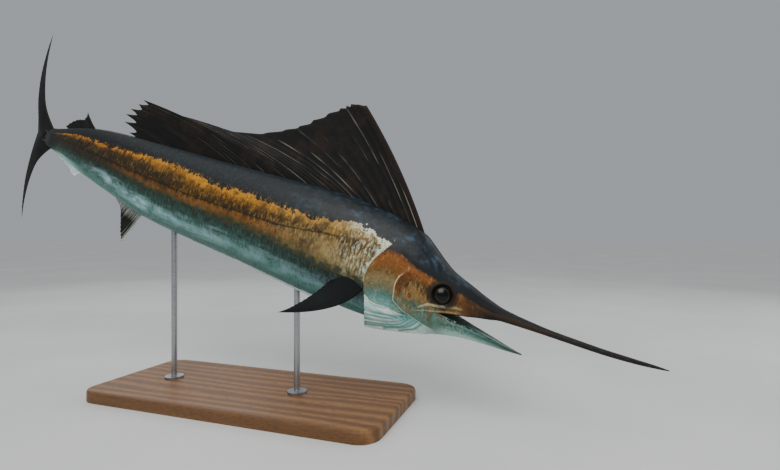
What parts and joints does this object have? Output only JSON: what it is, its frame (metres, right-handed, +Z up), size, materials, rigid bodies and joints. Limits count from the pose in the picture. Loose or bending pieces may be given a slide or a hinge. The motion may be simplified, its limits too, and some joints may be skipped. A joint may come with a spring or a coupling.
{
  "type": "sailfish display model",
  "caption": "Life-size sailfish swimming nose down, its long bill ahead and its sail half raised, held over a flat base by two short rods.",
  "frame": {"origin": "middle of the underside of the stand's base, on the floor", "axes": "+X towards the fish's bill, +Y towards its left side, +Z up"},
  "size_m": [2.1041, 0.36, 1.1724],
  "materials": {
    "back_skin": "wet satin skin, blue-black on the back",
    "copper_skin": "wet satin skin with a copper sheen",
    "silver_skin": "wet satin skin with a pale teal sheen",
    "fin_membrane": "matt black fin skin over darker rays",
    "bill_skin": "finely rough dark brown",
    "eye": "polished black with a bronze ring",
    "stand_wood": "oiled oak",
    "stand_steel": "brushed"
  },
  "bodies": {
    "root": {"bill": "bill_skin", "head": "copper_skin", "lower_jaw": "silver_skin", "eye_left": "eye", "eye_right": "eye", "trunk_front": "back_skin", "trunk_rear": "back_skin", "tail_stalk": "back_skin", "sail": "fin_membrane", "second_dorsal_fin": "fin_membrane", "first_anal_fin": "fin_membrane", "second_anal_fin": "silver_skin", "pectoral_fin_left": "fin_membrane", "pectoral_fin_right": "fin_membrane", "pelvic_fin_left": "silver_skin", "pelvic_fin_right": "silver_skin", "tail_fin_upper": "fin_membrane", "tail_fin_lower": "fin_membrane", "stand_base": "stand_wood", "stand_rod_front": "stand_steel", "stand_rod_rear": "stand_steel"}
  },
  "joints": []
}
